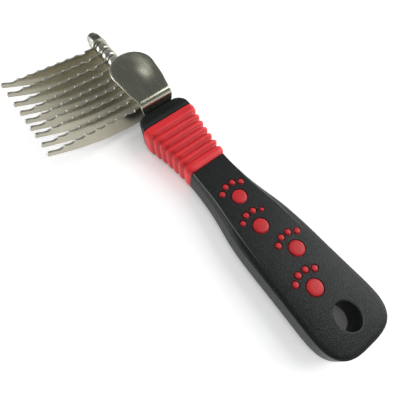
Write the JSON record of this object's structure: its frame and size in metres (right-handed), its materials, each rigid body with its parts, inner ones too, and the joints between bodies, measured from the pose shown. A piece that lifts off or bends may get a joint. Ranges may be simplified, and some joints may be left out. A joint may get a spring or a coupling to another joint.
{
  "type": "dematting comb",
  "caption": "Pet dematting comb with serrated curved blades and barrel spacers clamped on a threaded rod, a thumb rest and a ribbed rubber grip.",
  "frame": {"origin": "on the flat back of the handle, on its centre line, 58.35 mm behind the head face that the blade pack is clamped to; the comb lies on the plane z = 0", "axes": "+Y along the handle towards the blades; the blades point to -X; +Z out of the paw-print face of the handle"},
  "size_m": [0.0634, 0.1785, 0.0227],
  "materials": {
    "black_plastic": "fine-textured moulded plastic",
    "red_rubber": "smooth moulded rubber",
    "satin_steel": "satin stainless steel",
    "bright_steel": "bright plated steel"
  },
  "bodies": {
    "handle": {"handle_body": "black_plastic", "grip_sleeve": "red_rubber", "paw_inlay_1": "red_rubber", "paw_inlay_2": "red_rubber", "paw_inlay_3": "red_rubber", "paw_inlay_4": "red_rubber", "anchor_pin": "satin_steel", "threaded_rod": "satin_steel"},
    "blade_pack": {"thumb_rest": "satin_steel", "spacer_1": "bright_steel", "spacer_2": "bright_steel", "spacer_3": "bright_steel", "spacer_4": "bright_steel", "spacer_5": "bright_steel", "spacer_6": "bright_steel", "spacer_7": "bright_steel", "spacer_8": "bright_steel", "spacer_9": "bright_steel", "blade_1": "satin_steel", "blade_2": "satin_steel", "blade_3": "satin_steel", "blade_4": "satin_steel", "blade_5": "satin_steel", "blade_6": "satin_steel", "blade_7": "satin_steel", "blade_8": "satin_steel", "blade_9": "satin_steel"},
    "clamp_washer": {"end_washer": "bright_steel"},
    "clamp_nut": {"dome_nut": "bright_steel"}
  },
  "joints": [
    {"name": "blade_pack_swivel", "type": "hinge", "parent": "handle", "child": "blade_pack", "pos_m": [0, 0.0584, 0.011], "axis": [0, 1, 0], "range_deg": [0, 180]},
    {"name": "nut_travel", "type": "slide", "parent": "handle", "child": "clamp_washer", "axis": [0, 1, 0], "range_m": [0, 0.0056]},
    {"name": "nut_turn", "type": "hinge", "parent": "clamp_washer", "child": "clamp_nut", "pos_m": [0, 0.1102, 0.011], "axis": [0, 1, 0], "range_deg": [0, 2880]}
  ],
  "couplings": [
    {"joint": "nut_turn", "follows": "nut_travel", "rad_per_m": 8976}
  ]
}
